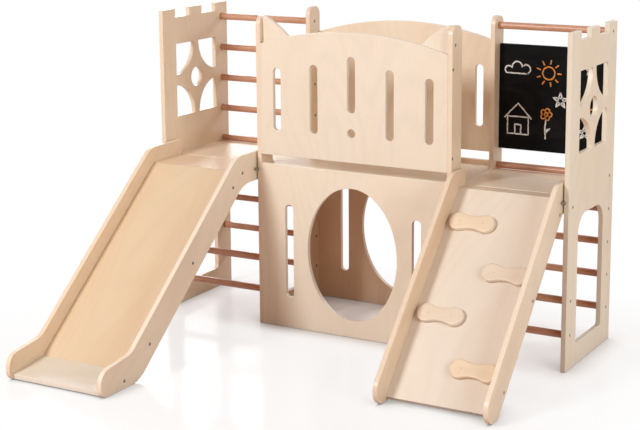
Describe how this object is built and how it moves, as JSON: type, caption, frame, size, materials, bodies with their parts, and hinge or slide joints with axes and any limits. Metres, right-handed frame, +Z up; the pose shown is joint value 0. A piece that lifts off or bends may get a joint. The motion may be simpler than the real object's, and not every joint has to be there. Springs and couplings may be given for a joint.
{
  "type": "climbing frame",
  "caption": "Wooden indoor climbing frame: castle towers joined by a raised room, with dowel ladders, a blackboard, a slide and a climbing ramp with holds.",
  "frame": {"origin": "middle of the whole footprint on the floor, slide and ramp included", "axes": "+X along the frame from the slide's tower to the ramp's tower, +Y from the slide's foot towards the ladders, +Z up"},
  "size_m": [1.422, 1.21, 1],
  "materials": {
    "birch_ply": "satin",
    "stained_beech": "satin",
    "blackboard_lacquer": "matte",
    "dark_steel": "satin"
  },
  "bodies": {
    "frame": {"left_outer_panel": "birch_ply", "left_inner_panel": "birch_ply", "right_inner_panel": "birch_ply", "right_outer_panel": "birch_ply", "front_lower_panel": "birch_ply", "rear_lower_panel": "birch_ply", "front_upper_panel": "birch_ply", "rear_upper_panel": "birch_ply", "left_ear": "birch_ply", "right_ear": "birch_ply", "left_deck": "birch_ply", "centre_deck": "birch_ply", "right_deck": "birch_ply", "deck_cleats": "birch_ply", "left_rung_1": "stained_beech", "left_rung_2": "stained_beech", "left_rung_3": "stained_beech", "left_rung_4": "stained_beech", "left_rung_5": "stained_beech", "left_rung_6": "stained_beech", "left_rung_7": "stained_beech", "left_rung_8": "stained_beech", "left_rung_9": "stained_beech", "right_rung_1": "stained_beech", "right_rung_2": "stained_beech", "right_rung_3": "stained_beech", "right_rung_4": "stained_beech", "right_rung_5": "stained_beech", "right_top_rung": "stained_beech", "left_front_rung_1": "stained_beech", "left_front_rung_2": "stained_beech", "right_front_rung_1": "stained_beech", "right_front_rung_2": "stained_beech", "slide_bar": "stained_beech", "ramp_bar": "stained_beech", "bar_spacers": "stained_beech", "blackboard_pegs": "stained_beech", "cleat_screws": "dark_steel", "rung_screws": "dark_steel", "panel_screws": "dark_steel", "blackboard": "blackboard_lacquer"},
    "slide": {"slide_left_rail": "birch_ply", "slide_right_rail": "birch_ply", "slide_landing": "birch_ply", "slide_bed": "birch_ply", "slide_runout": "birch_ply", "slide_screws": "dark_steel", "slide_stop_bolts": "dark_steel"},
    "ramp": {"ramp_left_rail": "birch_ply", "ramp_right_rail": "birch_ply", "ramp_landing": "birch_ply", "ramp_board": "birch_ply", "hold_1": "birch_ply", "hold_2": "birch_ply", "hold_3": "birch_ply", "hold_4": "birch_ply", "ramp_screws": "dark_steel", "ramp_stop_bolts": "dark_steel", "hold_screws": "dark_steel"}
  },
  "joints": [
    {"name": "slide_hinge", "type": "hinge", "parent": "frame", "child": "slide", "pos_m": [-0.518, 0.259, 0.491], "axis": [-1, 0, 0], "range_deg": [0, 8]},
    {"name": "ramp_hinge", "type": "hinge", "parent": "frame", "child": "ramp", "pos_m": [0.518, 0.259, 0.491], "axis": [-1, 0, 0], "range_deg": [0, 8]}
  ]
}
